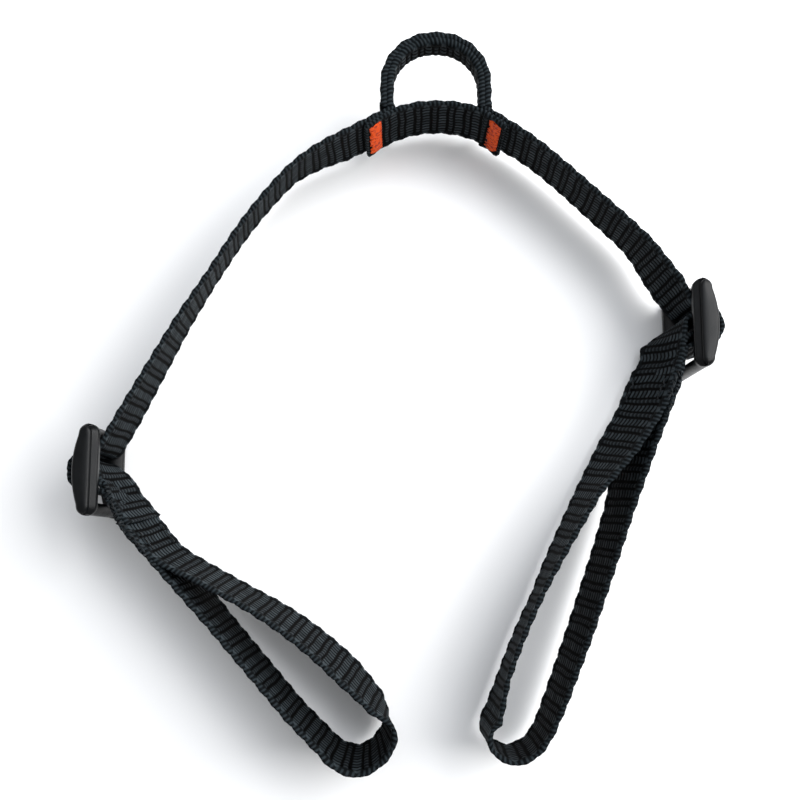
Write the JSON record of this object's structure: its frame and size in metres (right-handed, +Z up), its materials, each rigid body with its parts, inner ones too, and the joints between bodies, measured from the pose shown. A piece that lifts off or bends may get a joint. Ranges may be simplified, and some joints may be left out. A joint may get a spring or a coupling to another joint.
{
  "type": "double foot loop strap",
  "caption": "Woven webbing strap with a sewn eye at its middle and, on each arm, a three-bar slide and an adjustable closed foot loop.",
  "frame": {"origin": "on the eye's axis, at the height of the plane that the part rests on", "axes": "+Z up across the webbing's width, +Y from the loops towards the eye, +X to the right seen from above"},
  "size_m": [0.1983, 0.2244, 0.0344],
  "materials": {
    "webbing": "woven black polyester webbing",
    "thread": "black sewing thread",
    "tack_thread": "dense orange bar tack",
    "slide_plastic": "moulded black acetal with a satin surface"
  },
  "bodies": {
    "centre": {"front_cover": "webbing", "left_arm_root": "webbing", "right_arm_root": "webbing", "left_eye_foot": "webbing", "right_eye_foot": "webbing", "left_bar_tack": "tack_thread", "right_bar_tack": "tack_thread"},
    "eye": {"eye_band": "webbing", "eye_fold_seam": "thread"},
    "left_arm": {"left_arm_upper": "webbing", "left_arm_lower": "webbing"},
    "left_adjuster": {"left_pass": "webbing", "left_sewn_end": "webbing"},
    "left_slide": {"left_slide": "slide_plastic"},
    "left_loop": {"left_loop": "webbing", "left_cut_end": "webbing", "left_end_seam": "thread"},
    "right_arm": {"right_arm_upper": "webbing", "right_arm_lower": "webbing"},
    "right_adjuster": {"right_pass": "webbing", "right_sewn_end": "webbing"},
    "right_slide": {"right_slide": "slide_plastic"},
    "right_loop": {"right_loop": "webbing", "right_cut_end": "webbing", "right_end_seam": "thread"}
  },
  "joints": [
    {"name": "eye_swing", "type": "hinge", "parent": "centre", "child": "eye", "pos_m": [0, -0.00336, 0.0247], "axis": [1, 0, 0], "range_deg": [-60, 60]},
    {"name": "left_arm_swing", "type": "hinge", "parent": "centre", "child": "left_arm", "pos_m": [-0.02814, -0.01826, 0.0172], "axis": [0, 0, -1], "range_deg": [-2, 45]},
    {"name": "left_adjust", "type": "slide", "parent": "left_arm", "child": "left_adjuster", "axis": [0.4756, 0.8796, 0], "range_m": [-0.02, 0.032], "deforming": ["left_arm_lower"]},
    {"name": "left_slide_tilt", "type": "hinge", "parent": "left_adjuster", "child": "left_slide", "pos_m": [-0.10395, -0.12601, 0.0172], "axis": [0, 0, 1], "range_deg": [-3, 8]},
    {"name": "left_loop_swing", "type": "hinge", "parent": "left_adjuster", "child": "left_loop", "pos_m": [-0.0929, -0.13627, 0.0172], "axis": [0, 0, -1], "range_deg": [-2, 45]},
    {"name": "right_arm_swing", "type": "hinge", "parent": "centre", "child": "right_arm", "pos_m": [0.02793, -0.01898, 0.0172], "axis": [0, 0, 1], "range_deg": [-2, 45]},
    {"name": "right_adjust", "type": "slide", "parent": "right_arm", "child": "right_adjuster", "axis": [-0.4726, 0.8813, 0], "range_m": [-0.045, 0.012], "deforming": ["right_arm_lower"]},
    {"name": "right_slide_tilt", "type": "hinge", "parent": "right_adjuster", "child": "right_slide", "pos_m": [0.0806, -0.08156, 0.0172], "axis": [0, 0, -1], "range_deg": [-3, 8]},
    {"name": "right_loop_swing", "type": "hinge", "parent": "right_adjuster", "child": "right_loop", "pos_m": [0.07178, -0.09423, 0.0172], "axis": [0, 0, 1], "range_deg": [-2, 45]}
  ]
}
